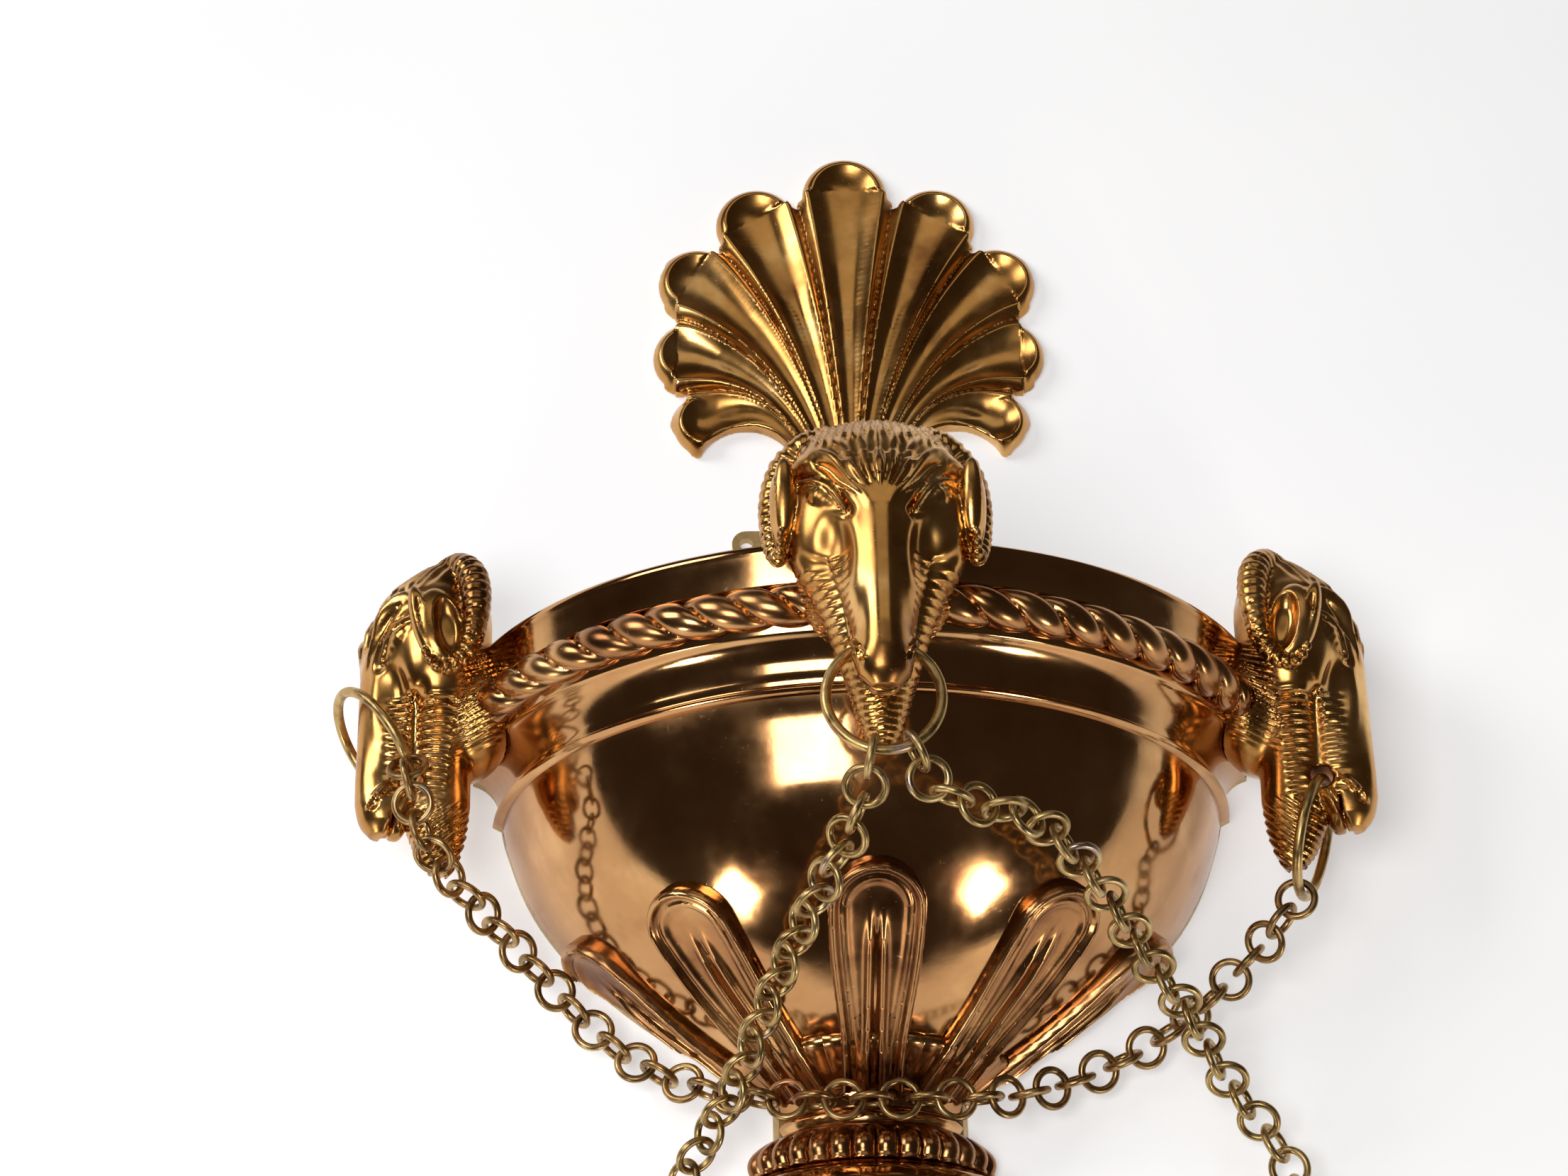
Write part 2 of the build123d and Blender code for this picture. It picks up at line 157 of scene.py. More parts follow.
def wire_brass(name, tint):
    """Dull antique brass wire with brown tarnish and a few grey or reddish solder spots."""
    m = Nodes(name)
    base = m.ramp(m.noise(0.16, 4, 0.6),
                  [(0.3, (0.20, 0.125, 0.05)), (0.5, tint), (0.7, (0.56, 0.40, 0.19))])
    spots = m.ramp(m.noise(0.07, 2, 0.5), [(0.66, 0.0), (0.71, 0.8)])
    base = m.mix(spots, base, (0.42, 0.32, 0.26))
    red = m.ramp(m.noise(0.085, 2, 0.4, (1.0, 1.3, 0.8)), [(0.69, 0.0), (0.74, 0.7)])
    base = m.mix(red, base, (0.42, 0.17, 0.09))
    haze = m.ramp(m.noise(0.4, 3, 0.6), [(0.3, 0.26), (0.7, 0.46)])
    m.set(Base_Color=base, Metallic=1.0, Roughness=haze)
    m.bump((m.noise(0.5, 3, 0.6), 0.25, 0.1), (m.noise(2.2, 2, 0.5), 0.12, 0.04))
    return m.material


def satin_metal(name, dark, light, rough=(0.28, 0.5), stretch=(1, 1, 1)):
    """Machined metal with fine brushing, stains and light scratches."""
    m = Nodes(name)
    stain = m.noise(0.07, 5, 0.65)
    colour = m.ramp(stain, [(0.32, dark), (0.68, light)])
    brush = m.noise(0.9, 4, 0.7, stretch)
    haze = m.ramp(brush, [(0.3, rough[0]), (0.7, rough[1])])
    m.set(Base_Color=colour, Metallic=1.0, Roughness=haze)
    m.bump((brush, 0.16, 0.06), (m.noise(0.2, 3), 0.12, 0.15))
    return m.material


def ruby_glass():
    """Clear ruby glass, with faint waves and a little dust."""
    m = Nodes("ruby_glass")
    tint = m.ramp(m.noise(0.03, 2), [(0.3, (0.60, 0.012, 0.012)), (0.7, (0.72, 0.03, 0.02))])
    haze = m.ramp(m.noise(0.5, 4, 0.7), [(0.55, 0.03), (0.8, 0.14)])
    m.set(Base_Color=tint, Roughness=haze, IOR=1.5, Transmission_Weight=1.0)
    m.bump((m.noise(0.05, 2), 0.15, 0.4))
    return m.material


def wax():
    """Ivory wax with a translucent rim and small pits."""
    m = Nodes("candle_wax")
    colour = m.ramp(m.noise(0.08, 3), [(0.3, (0.78, 0.70, 0.52)), (0.7, (0.90, 0.85, 0.70))])
    m.set(Base_Color=colour, Roughness=m.ramp(m.noise(0.3, 3), [(0.3, 0.35), (0.7, 0.55)]))
    m.set(Subsurface_Weight=0.3)
    m.shader.inputs["Subsurface Radius"].default_value = (0.004, 0.0025, 0.0015)
    m.bump((m.noise(0.25, 3), 0.3, 0.3))
    return m.material


def cotton():
    """Braided cotton wick, charred towards its end."""
    m = Nodes("wick_cotton")
    height = m.add("ShaderNodeSeparateXYZ")
    m.link(m.object, height.inputs[0])
    span = m.add("ShaderNodeMapRange")
    span.inputs["From Min"].default_value = -9 * MM
    span.inputs["From Max"].default_value = -4 * MM
    m.link(height.outputs["Z"], span.inputs["Value"])
    colour = m.ramp(span.outputs["Result"], [(0.0, (0.62, 0.56, 0.45)), (1.0, (0.02, 0.017, 0.015))])
    m.set(Base_Color=colour, Roughness=m.ramp(m.noise(2.0, 2), [(0.3, 0.75), (0.7, 0.95)]))
    m.bump((m.noise(2.5, 2, 0.5, (1, 1, 0.4)), 0.8, 0.2))
    return m.material


# ---- mesh helpers ----
def make_object(name, verts, faces, material, body="lamp", stands_for=(),
                cavity_gain=None):
    """A smooth mesh from points in millimetres, on a CAD body."""
    mesh = bpy.data.meshes.new(name)
    mesh.from_pydata((np.asarray(verts, float) * MM).tolist(), [], [list(map(int, f)) for f in faces])
    mesh.validate()
    mesh.polygons.foreach_set("use_smooth", [True] * len(mesh.polygons))
    mesh.set_sharp_from_angle(angle=radians(55))
    obj = bpy.data.objects.new(name, mesh)
    bpy.context.scene.collection.objects.link(obj)
    mesh.materials.append(material)
    if cavity_gain:
        store_cavity(mesh, cavity_gain)
    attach(obj, body)
    if stands_for:
        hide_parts(*stands_for)
    return obj


def store_cavity(mesh, gain, passes=2):
    """Attribute from 0 on ridges through 0.5 on flats to 1 in hollows."""
    count = len(mesh.vertices)
    place = np.zeros(count * 3)
    mesh.vertices.foreach_get("co", place)
    place = place.reshape(-1, 3) / MM
    normal = np.zeros(count * 3)
    mesh.vertices.foreach_get("normal", normal)
    normal = normal.reshape(-1, 3)
    ends = np.zeros(len(mesh.edges) * 2, int)
    mesh.edges.foreach_get("vertices", ends)
    a, b = ends.reshape(-1, 2).T
    degree = np.maximum(np.bincount(a, minlength=count) + np.bincount(b, minlength=count), 1)

    def spread(values):
        total = np.zeros_like(values)
        np.add.at(total, a, values[b])
        np.add.at(total, b, values[a])
        return total / (degree[:, None] if values.ndim == 2 else degree)

    rough = place
    for _ in range(passes):
        rough = spread(rough)
    height = ((rough - place) * normal).sum(1)
    for _ in range(passes):
        height = 0.5 * height + 0.5 * spread(height)
    layer = mesh.attributes.new("cavity", "FLOAT", "POINT")
    layer.data.foreach_set("value", np.clip(0.5 + gain * height, 0, 1).astype(np.float32))


def grid_faces(rows, columns, closed=False):
    """Quads of a grid of points, row by row; closed joins the last column to the first."""
    i, j = np.meshgrid(np.arange(rows - 1), np.arange(columns if closed else columns - 1), indexing="ij")
    i, j = i.ravel(), j.ravel()
    k = (j + 1) % columns
    return np.stack([i * columns + j, i * columns + k, (i + 1) * columns + k, (i + 1) * columns + j], 1)


def smooth_line(points, count):
    """Points at even spacing along a Catmull-Rom curve through a few given ones."""
    p = np.array(points, float)
    p = np.vstack([2 * p[0] - p[1], p, 2 * p[-1] - p[-2]])
    out = []
    for a, b, c, d in zip(p, p[1:], p[2:], p[3:]):
        t = np.linspace(0, 1, 24, endpoint=False)[:, None]
        out.append(0.5 * (2 * b + (c - a) * t + (2 * a - 5 * b + 4 * c - d) * t ** 2
                          + (3 * b - a - 3 * c + d) * t ** 3))
    out = np.vstack(out + [p[-2][None]])
    along = np.concatenate([[0], np.cumsum(np.linalg.norm(np.diff(out, axis=0), axis=1))])
    spots = np.linspace(0, along[-1], count)
    return np.stack([np.interp(spots, along, out[:, k]) for k in range(out.shape[1])], 1)


def cylindrical(radius, azimuth, z):
    """Points round the bowl's axis; azimuth in radians from the front."""
    return np.stack([radius * np.sin(azimuth), AXIS_Y - radius * np.cos(azimuth), z], -1)


# ---- sculpting with distance fields ----
def surface_net(field, low, step):
    """Closed quad mesh where a field on a grid is zero. The inside is negative."""
    shape = np.array(field.shape) - 1
    corner = {}
    for o in product((0, 1), repeat=3):
        corner[o] = field[tuple(slice(k, k + n) for k, n in zip(o, shape))]
    total = np.zeros((*shape, 3), np.float32)
    count = np.zeros(tuple(shape), np.float32)
    for o in product((0, 1), repeat=3):
        for axis in range(3):
            if o[axis]:
                continue
            far = tuple(1 if k == axis else v for k, v in enumerate(o))
            a, b = corner[o], corner[far]
            cross = (a < 0) != (b < 0)
            t = a[cross] / (a[cross] - b[cross])
            for k in range(3):
                total[..., k][cross] += o[k] + (t if k == axis else 0)
            count[cross] += 1
    active = count > 0
    index = np.full(tuple(shape), -1, np.int64)
    index[active] = np.arange(active.sum())
    cells = np.argwhere(active)
    verts = (cells + total[active] / count[active][:, None]) * step + np.array(low)
    faces = []
    for axis in range(3):
        u, v = [k for k in range(3) if k != axis]
        near = [slice(1, n) for n in shape]
        near[axis] = slice(0, shape[axis])
        ahead = list(near)
        ahead[axis] = slice(1, shape[axis] + 1)
        a, b = field[tuple(near)] < 0, field[tuple(ahead)] < 0
        at = np.argwhere(a != b)
        leaving = a[a != b]
        base = at + np.array([0 if k == axis else 1 for k in range(3)])
        quad = []
        for du, dv in ((0, 0), (-1, 0), (-1, -1), (0, -1)):
            cell = base.copy()
            cell[:, u] += du
            cell[:, v] += dv
            quad.append(index[cell[:, 0], cell[:, 1], cell[:, 2]])
        quad = np.stack(quad, 1)
        flip = leaving if axis != 1 else ~leaving
        quad[~flip] = quad[~flip][:, ::-1]
        faces.append(quad)
    return verts, np.vstack(faces)


def lattice(low, high, step):
    """Coordinates of a grid over a box, as three float arrays."""
    axes = [np.arange(a, b + step, step, dtype=np.float32) for a, b in zip(low, high)]
    return np.meshgrid(*axes, indexing="ij")


def join(a, b, k):
    """Smooth union over k millimetres."""
    h = np.clip(0.5 + 0.5 * (b - a) / k, 0, 1)
    return b + (a - b) * h - k * h * (1 - h)


def carve(a, b, k):
    """Cut b out of a, with an edge rounded over k millimetres."""
    return -join(-a, b, k)


def ellipsoid(p, centre, radii, tilt=0.0):
    """Ellipsoid; tilt turns it in the plane of the last two axes, in degrees."""
    x, y, z = (q - c for q, c in zip(p, centre))
    if tilt:
        c, s = cos(radians(tilt)), sin(radians(tilt))
        y, z = c * y + s * z, -s * y + c * z
    a = np.sqrt((x / radii[0]) ** 2 + (y / radii[1]) ** 2 + (z / radii[2]) ** 2) + 1e-6
    b = np.sqrt((x / radii[0] ** 2) ** 2 + (y / radii[1] ** 2) ** 2 + (z / radii[2] ** 2) ** 2) + 1e-6
    return a * (a - 1) / b


def strand(p, points, radii, count=10):
    """Round tapered tube along a smooth line. Returns its distance and the place along it."""
    line = smooth_line(points, count)
    along = np.concatenate([[0], np.cumsum(np.linalg.norm(np.diff(line, axis=0), axis=1))])
    knots = np.linspace(0, along[-1], len(radii))
    best = np.full(p[0].shape, 1e3, np.float32)
    place = np.zeros(p[0].shape, np.float32)
    for a, b, start, end in zip(line, line[1:], along, along[1:]):
        d = (b - a) / (end - start)
        x, y, z = (q - c for q, c in zip(p, a))
        t = np.clip(x * d[0] + y * d[1] + z * d[2], 0, end - start)
        gap = np.sqrt((x - t * d[0]) ** 2 + (y - t * d[1]) ** 2 + (z - t * d[2]) ** 2)
        gap = gap - np.interp(t + start, knots, radii).astype(np.float32)
        nearer = gap < best
        best = np.where(nearer, gap, best)
        place = np.where(nearer, t + start, place)
    return best, place


def stack(p, rows):
    """Upright body of level ellipses: rows of height, depth of centre, half width, half depth."""
    z, centre, wide, deep = np.array(sorted(rows)).T
    c, w, d = (np.interp(p[2], z, v).astype(np.float32) for v in (centre, wide, deep))
    k = np.sqrt((p[0] / w) ** 2 + ((p[1] - c) / d) ** 2)
    side = (k - 1) * np.minimum(w, d)
    return np.maximum(side, np.maximum(z[0] - p[2], p[2] - z[-1]))


def ease(x, low, high):
    """Smooth step from 0 at low to 1 at high."""
    t = np.clip((x - low) / (high - low), 0, 1)
    return t * t * (3 - 2 * t)


def window(x, low, high, edge):
    """1 between low and high, fading over edge."""
    return ease(x, low - edge, low + edge) * (1 - ease(x, high - edge, high + edge))


# ---- ram's head: lateral, outward from the bowl's rim, up ----
def skull(p):
    """Skull, face, jaw and beard without detail."""
    f = ellipsoid(p, (0, 9.3, 4.6), (20.6, 15.2, 17.8))
    f = join(f, ellipsoid(p, (0, 7.2, 16.4), (17.0, 8.6, 8.0)), 3.0)
    face = stack(p, [(8, 11.5, 16.5, 12), (0, 14.8, 15.5, 11.2), (-8, 15.6, 13.2, 10.4),
                     (-16, 16, 10.8, 10), (-24, 16.8, 8.2, 9.4), (-32, 17.5, 6.6, 8.7),
                     (-38, 18.4, 6.7, 7.4), (-42.5, 19.3, 5.6, 5.2), (-45.3, 20.0, 3.0, 2.8)])
    f = join(f, face, 2.5)
    jaw = stack(p, [(2, 7, 19.5, 8), (-8, 7.5, 18.5, 9.4), (-18, 8, 14.6, 9.4),
                    (-27, 7.8, 11.2, 8.8), (-36, 7.0, 8.4, 8.4), (-44, 6.4, 6.0, 6.9),
                    (-49.5, 5.9, 4.2, 4.9), (-53, 5.4, 2.0, 2.4)])
    f = join(f, jaw, 1.6)
    f = join(f, ellipsoid(p, (12.6, 10.2, -3.5), (7.4, 9.6, 13.5)), 2.5)
    return join(f, ellipsoid(p, (0, -1.0, -11), (17.5, 11, 17)), 3.0)


def muzzle(f, p):
    """Straight nose bridge, round nose, nostrils, mouth slit and lower lip."""
    bridge, _ = strand(p, [(0, 21.6, 5), (0, 22.6, -6), (0, 23.0, -22), (0, 22.4, -37)],
                       (4.4, 4.0, 3.5, 4.2))
    f = join(f, bridge, 1.6)
    f = join(f, ellipsoid(p, (0, 21.2, -39.5), (5.6, 4.8, 5.6)), 1.2)
    f = carve(f, ellipsoid(p, (10.2, 23.0, -14), (3.4, 4.6, 8.0)), 3.0)
    slit, _ = strand(p, [(0, 19.6, -46.5), (3.6, 18.9, -44), (5.8, 17.6, -40), (6.6, 15.4, -35.5)],
                     (0.8, 0.6, 0.5))
    gap = np.maximum(np.abs(p[1] - 18.4) - 0.35, p[2] + 38.0)
    f = carve(f, np.minimum(slit, gap), 0.5)
    f = join(f, ellipsoid(p, (0, 16.6, -41.5), (4.4, 2.4, 4.2)), 0.5)
    wing, _ = strand(p, [(6.4, 20.2, -34.5), (6.3, 22.2, -36.5), (4.6, 24.4, -40)], (0.7, 1.0, 0.6), 5)
    f = join(f, wing, 0.8)
    f = carve(f, ellipsoid(p, (5.6, 23.6, -39.2), (1.5, 1.2, 1.9), 25), 0.5)
    return f


def eyes(f, p):
    """Slanted almond eyes between lids, under brow ridges that run into the nose bridge."""
    socket, _ = strand(p, [(17.2, 17.6, 4.6), (12.5, 22.0, 1.0), (7.6, 24.6, -5)], (1.5, 2.3, 1.7), 6)
    f = carve(f, socket, 1.6)
    ball, _ = strand(p, [(15.6, 17.4, 3.0), (12.4, 19.6, 0.2), (9.0, 21.6, -3.0)], (1.4, 2.9, 1.4), 6)
    f = join(f, ball, 0.5)
    upper, _ = strand(p, [(17.6, 17.0, 4.6), (14.4, 20.4, 4.0), (10.6, 22.8, 0.8), (7.4, 23.8, -4.6)],
                      (0.5, 0.85, 0.85, 0.5), 8)
    lower, _ = strand(p, [(17.4, 16.8, 4.2), (15.0, 18.6, 0.0), (11.4, 20.8, -3.2), (7.4, 23.4, -4.8)],
                      (0.5, 0.7, 0.7, 0.5), 8)
    f = join(f, np.minimum(upper, lower), 0.6)
    brow, _ = strand(p, [(1.8, 25.0, -4), (5.2, 24.8, 2.6), (9.6, 23.2, 7.2), (14.4, 19.6, 9.8),
                         (18.2, 15.6, 9.0)], (1.4, 1.6, 1.9, 1.8, 0.9), 10)
    return join(f, brow, 0.9)


def horn_and_ear(f, p):
    """Ribbed horn curling round a hollow, leaf-shaped ear."""
    f = carve(f, ellipsoid(p, (26.4, 12.5, 0.5), (4.8, 6.4, 8.6)), 1.2)
    ear = ellipsoid(p, (20.6, 12.6, 0.5), (3.4, 6.0, 9.8), -12)
    ear = carve(ear, ellipsoid(p, (24.2, 11.2, 0.0), (4.2, 3.6, 8.0), -12), 0.6)
    blade = ellipsoid(p, (20.4, 17.2, 1.4), (2.7, 2.6, 9.0), -16)
    blade = carve(blade, ellipsoid(p, (23.2, 17.6, 1.4), (1.8, 1.0, 7.0), -16), 0.4)
    f = join(f, np.minimum(ear, blade), 0.4)
    horn, place = strand(p, [(10.5, 8.5, 21.0), (15.5, 6.2, 19.6), (20.0, 4.6, 14.4), (22.4, 4.2, 6),
                             (22.6, 5.4, -3), (21.8, 9.2, -9.4), (21.4, 13.6, -10.0), (21.2, 16.4, -6.6)],
                         (2.6, 3.4, 3.9, 3.8, 3.4, 2.9, 2.4, 1.6, 0.9), 22)
    rib = np.abs(np.sin(pi * place / 2.3))
    horn = horn + 0.75 * (1 - rib) ** 2 * window(place, 7, 60, 3)
    return join(f, horn, 0.6)


def hair(f, p):
    """Combed poll, forelock tufts, ribbed cheeks and a hatched beard, cut into the surface."""
    x, y, z = p
    strands = np.sin(2 * pi * (x / 1.9 + 0.35 * np.sin(z / 2.6) + 0.2 * np.sin(y / 1.7)))
    poll = window(z, 13.5, 40, 2.5) * (1 - ease(x, 14, 18))
    f = f + 0.32 * poll * strands
    angle = np.arctan2(x, z + 7)
    reach = np.hypot(x, z + 7)
    lock = np.cos(angle * 30 + 0.9 * np.sin(reach / 2.4))
    front = window(reach, 8, 24, 3) * (1 - ease(angle, 0.75, 0.95)) * ease(y, 12, 16)
    f = f - 0.42 * front * np.sign(lock) * np.abs(lock) ** 0.7
    side = ease(x, 5.5, 8.5)
    row = z + 0.12 * x
    cheek = side * window(row, -37, -12.5, 1.2) * window(y, 7.0, 21.5, 1.5)
    column = 1 - np.exp(-((y - 16.6 - 0.08 * z) / 1.2) ** 2)
    f = f - 0.42 * cheek * column * np.cos(2 * pi * row / 2.15)
    f = f + 0.9 * side * window(z, -33, -12, 2) * (1 - column)
    wool = window(z, -34, -2, 2) * (1 - ease(y, 6.0, 8.0)) * ease(x, 9, 13)
    f = f - 0.24 * wool * np.cos(2 * pi * (z + 0.55 * y) / 1.5)
    comb = (1 - ease(z, -39.5, -36.5)) * (1 - ease(y, 13.5, 15.0))
    return f - 0.3 * comb * np.cos(2 * pi * (0.75 * z + 0.66 * y + 0.3 * x) / 1.55)


def fit_to_bowl(f, p):
    """Hole for the ring, room for its swing, and a back that lies on the bowl's rim and cove."""
    x, y, z = p
    pinch = ellipsoid(p, (9.8, 15.0, -33.6), (4.0, 3.8, 3.4))
    ahead = HEAD_DEPTH * y - (HOLE_R - RIM_R)
    reach = np.hypot(ahead, z - HOLE_Z)
    f = carve(f, join(pinch, reach - 2.5, 0.6), 0.5)
    ring = np.abs(np.hypot(reach - RING_R + 0.55, x) - RING_R) - 1.7
    swing = np.arctan2(ahead, HOLE_Z - z)
    f = carve(f, np.maximum(ring, np.maximum(-0.15 - swing, swing - 1.65) * 12), 0.4)
    radius = np.hypot(x, y + RIM_R)
    bowl_r = np.interp(z, [-60, -50, -38, -31, -30.4, -24, -19.5, -10, -9.5, -0.5, 0.2, 30],
                       [70, 80.6, 85.2, 87, 89, 88.6, 94.2, 94.6, 98, 99.2, 98.4, 98.4]).astype(np.float32)
    return np.maximum(f, bowl_r - radius)


def ram_head_mesh(step):
    """Points and faces of one head, symmetric about its middle."""
    p = lattice((0, -13, -54.6), (28.6, 28.6, 25.8), step)
    f = skull(p)
    f = muzzle(f, p)
    f = eyes(f, p)
    f = horn_and_ear(f, p)
    f = hair(f, p)
    f = fit_to_bowl(f, p)
    f = np.concatenate([f[:0:-1], f], axis=0)
    return surface_net(f, (-(p[0].shape[0] - 1) * step, -13, -54.6), step)


# ---- the bowl ----
BODY = [(87.6, -31.6), (86.0, -38.0), (81.5, -50.0), (74.0, -62.0), (61.5, -75.0), (47.0, -86.0),
        (33.0, -94.5), (24.0, NECK_TOP)]


def turned_grid(profile, columns, wall_y, relief=None):
    """Part-round surface from a profile of radius and height, out to the plane y = wall_y."""
    radius, z = np.array(profile, float).T
    half = np.arccos(np.clip((AXIS_Y - wall_y) / radius, -1, 1))
    azimuth = half[:, None] * np.linspace(-1, 1, columns)[None]
    radius = np.repeat(radius[:, None], columns, 1)
    if relief is not None:
        radius = radius + relief(azimuth, np.repeat(z[:, None], columns, 1))
    points = cylindrical(radius, azimuth, z[:, None] + 0 * azimuth)
    points[..., 1] = np.minimum(points[..., 1], wall_y)
    return points


def closed_turning(profile, columns, wall_y, relief=None):
    """Solid of part revolution: a turned skin, its flat ends and its back on the plane."""
    points = turned_grid(profile, columns, wall_y, relief)
    rows = points.shape[0]
    verts = points.reshape(-1, 3)
    faces = grid_faces(rows, columns)
    left = np.arange(rows) * columns
    back = np.stack([left[:-1], left[1:], left[1:] + columns - 1, left[:-1] + columns - 1], 1)
    top = [list(range(columns))[::-1], list(range((rows - 1) * columns, rows * columns))]
    return verts, [list(f)[::-1] for f in faces] + [list(f) for f in back] + [f[::-1] for f in top]


def bowl(metal):
    """Polished bowl: rim band, rope seat, cove, sharp arris and full body, with its wall."""
    rim = [(98.0, 0.0), (98.6, 0.25), (99.6, 0.25), (100.0, -0.2), (100.0, -1.6), (99.5, -2.1),
           (98.7, -9.0), (98.2, -9.6), (95.6, -10.2), (95.0, -10.8), (94.8, -19.2)]
    turns = [radians(a) for a in range(8, 90, 9)]
    cove = [(94.8 - 6.4 * sin(a) ** 1.4, -19.5 - 9.4 * (1 - cos(a))) for a in turns]
    arris = [(88.2, -29.0), (88.35, -29.7), (88.9, -30.05), (89.55, -30.2), (89.8, -30.5),
             (89.6, -30.9), (88.4, -31.4)]
    body = smooth_line(BODY, 60)
    neck = [(23.9, -102.0), (23.6, -103.6), (22.6, -104.6), (22.4, -105.2), (23.4, -105.9), (24.0, -107.4),
            (23.4, -109.2), (22.6, NECK_END)]
    inside = smooth_line([(31.0, -92.4), (45.2, -84.2), (59.5, -73.4), (71.8, -60.8), (79.2, -49.5),
                          (83.8, -38.0), (85.6, -26.5)], 40)
    top = [(92.2, -19.0), (92.4, -11.0), (96.8, -1.0), (97.4, -0.1), (98.0, 0.0)]
    profile = rim + cove + arris + [tuple(p) for p in body] + neck
    profile += [(12.0, NECK_END), (12.0, -92.4)] + [tuple(p) for p in inside] + top
    columns = 361
    verts = turned_grid(profile, columns, BACK_Y).reshape(-1, 3)
    faces = [list(f)[::-1] for f in grid_faces(len(profile), columns)]
    ends = []
    for column in (0, columns - 1):
        loop = [row * columns + column for row in range(len(profile) - 1)]
        ends.append(loop if column else loop[::-1])
    return make_object("bowl_body", verts, faces + ends, metal,
                       stands_for=["bowl_shell"], cavity_gain=0.35)


def rope(metal):
    """Two-strand rope that follows the bowl under the rim."""
    ring_r, tube_r, ring_z = 98.3, 4.9, -14.6
    strand_pitch = radians(5.8)
    columns, turns = 900, 72
    half = acos((AXIS_Y - BACK_Y) / ring_r)
    azimuth = np.linspace(-half, half, columns)[:, None]
    angle = np.linspace(0, 2 * pi, turns, endpoint=False)[None]
    lay = azimuth / strand_pitch + 2 * angle / (2 * pi)
    part = 2 * (lay - np.floor(lay)) - 1
    swell = np.sqrt(np.clip(1 - part ** 2, 0, 1)) ** 0.9
    radius = tube_r - 2.3 * (1 - swell)
    points = cylindrical(ring_r + radius * np.cos(angle), azimuth + 0 * angle,
                         ring_z + radius * np.sin(angle))
    points[..., 1] = np.minimum(points[..., 1], BACK_Y)
    verts = points.reshape(-1, 3)
    faces = [list(f) for f in grid_faces(columns, turns, closed=True)]
    faces += [list(range(turns))[::-1], list(range((columns - 1) * turns, columns * turns))]
    return make_object("rope_twist", verts, faces, metal, stands_for=["rope_moulding"], cavity_gain=1.4)


# ---- palmette crest ----
CREST_T = 5.2
LOBES = [((0, 150.2), 11.3, (0, 58), (0, 100)), ((23.6, 141.0), 10.8, (1.8, 58), (8.5, 104)),
         ((39.4, 122.6), 10.2, (3.6, 58), (14.0, 103)), ((41.2, 100.2), 9.8, (5.4, 58), (17.0, 95)),
         ((37.0, 80.4), 8.6, (7.4, 58), (19.0, 93))]


def nearest_lobes(x, z):
    """Distances to the two nearest middle lines, and the nearest lobe's half width here and at its tip."""
    near = np.full(x.shape, 1e3)
    second, width, tip_width = near.copy(), near.copy(), near.copy()
    t = np.linspace(0, 1, 60)[:, None]
    for index, (tip, tip_r, root, pull) in enumerate(LOBES):
        line = (1 - t) ** 2 * np.array(root) + 2 * t * (1 - t) * np.array(pull) + t ** 2 * np.array(tip)
        for side in (1, -1) if index == 1 else (1,):
            gap = np.hypot(x[..., None] - side * line[:, 0], z[..., None] - line[:, 1])
            distance = gap.min(-1)
            half = 1.8 + (tip_r - 1.8) * t[gap.argmin(-1), 0] ** 0.36
            closer = distance < near
            second = np.where(closer, near, np.minimum(second, distance))
            width = np.where(closer, half, width)
            tip_width = np.where(closer, tip_r, tip_width)
            near = np.where(closer, distance, near)
    return near, second, width, tip_width


def palmette(metal):
    """Nine spoon-hollow lobes with rolled rims, each pair of rims parted by a fine groove."""
    step = 0.5
    p = lattice((-1, -7.5, 36), (54, 1.5, 163), step)
    x, z = p[0][:, 0], p[2][:, 0]
    near, second, width, tip_width = nearest_lobes(x, z)
    between = 0.5 * (near + second)
    web = np.where(z > 86, between - tip_width - 1.6, 99.0)
    reach = np.where(web < 0.4, between, np.minimum(width, between))
    q = near / np.maximum(reach, 0.3)
    bend = np.clip(reach / 7.0, 0.18, 1)
    spoon = np.where(q < 0.76, 0.22 + 0.78 * (q / 0.76) ** 2.2, 1 - 0.75 * ((q - 0.76) / 0.24) ** 1.6)
    height = CREST_T - 3.3 * bend * (1 - spoon)
    stem = np.maximum(np.maximum(np.abs(x) - 12.6, 38.5 - z), z - 74.0)
    barb = np.clip((82.0 - z) / 12.0, 0, 1)
    barb_edge = np.hypot(x - 42.0 + 2.8 * barb, np.minimum(z - 82.0, 0) + 12.0 * barb) - 5.6 * (1 - barb)
    fan = np.minimum(np.minimum(near - width, web), barb_edge - 0.5)
    outline = np.maximum(np.minimum(fan, stem), 12.9 - np.hypot(x - 27.0, z - 66.0))
    height = np.where(fan < 0.3, height, CREST_T - 1.6)
    round_edge = 1.1
    drop = np.clip(outline + round_edge, 0, round_edge)
    height = height - (round_edge - np.sqrt(np.clip(round_edge ** 2 - drop ** 2, 0, None))) * 0.9
    f = np.maximum(-p[1] - height[:, None, :], outline[:, None, :])
    f = np.maximum(f, p[1] + 0.02)
    slot_top = 63.4
    f = np.maximum(f, np.where(p[2] < slot_top, p[1] - BACK_Y + 0.05, -5.0))
    f = np.concatenate([f[:2:-1], f[2:]], axis=0)
    half = (p[0].shape[0] - 3) * step
    verts, faces = surface_net(f.astype(np.float32), (-half, -7.5, 36), step)
    return make_object("palmette_fan", verts, faces, metal, stands_for=["palmette_crest"], cavity_gain=1.1)


# ---- leaves under the bowl ----
LEAF_AZIMUTHS = (-74, -39, 0, 39, 74)


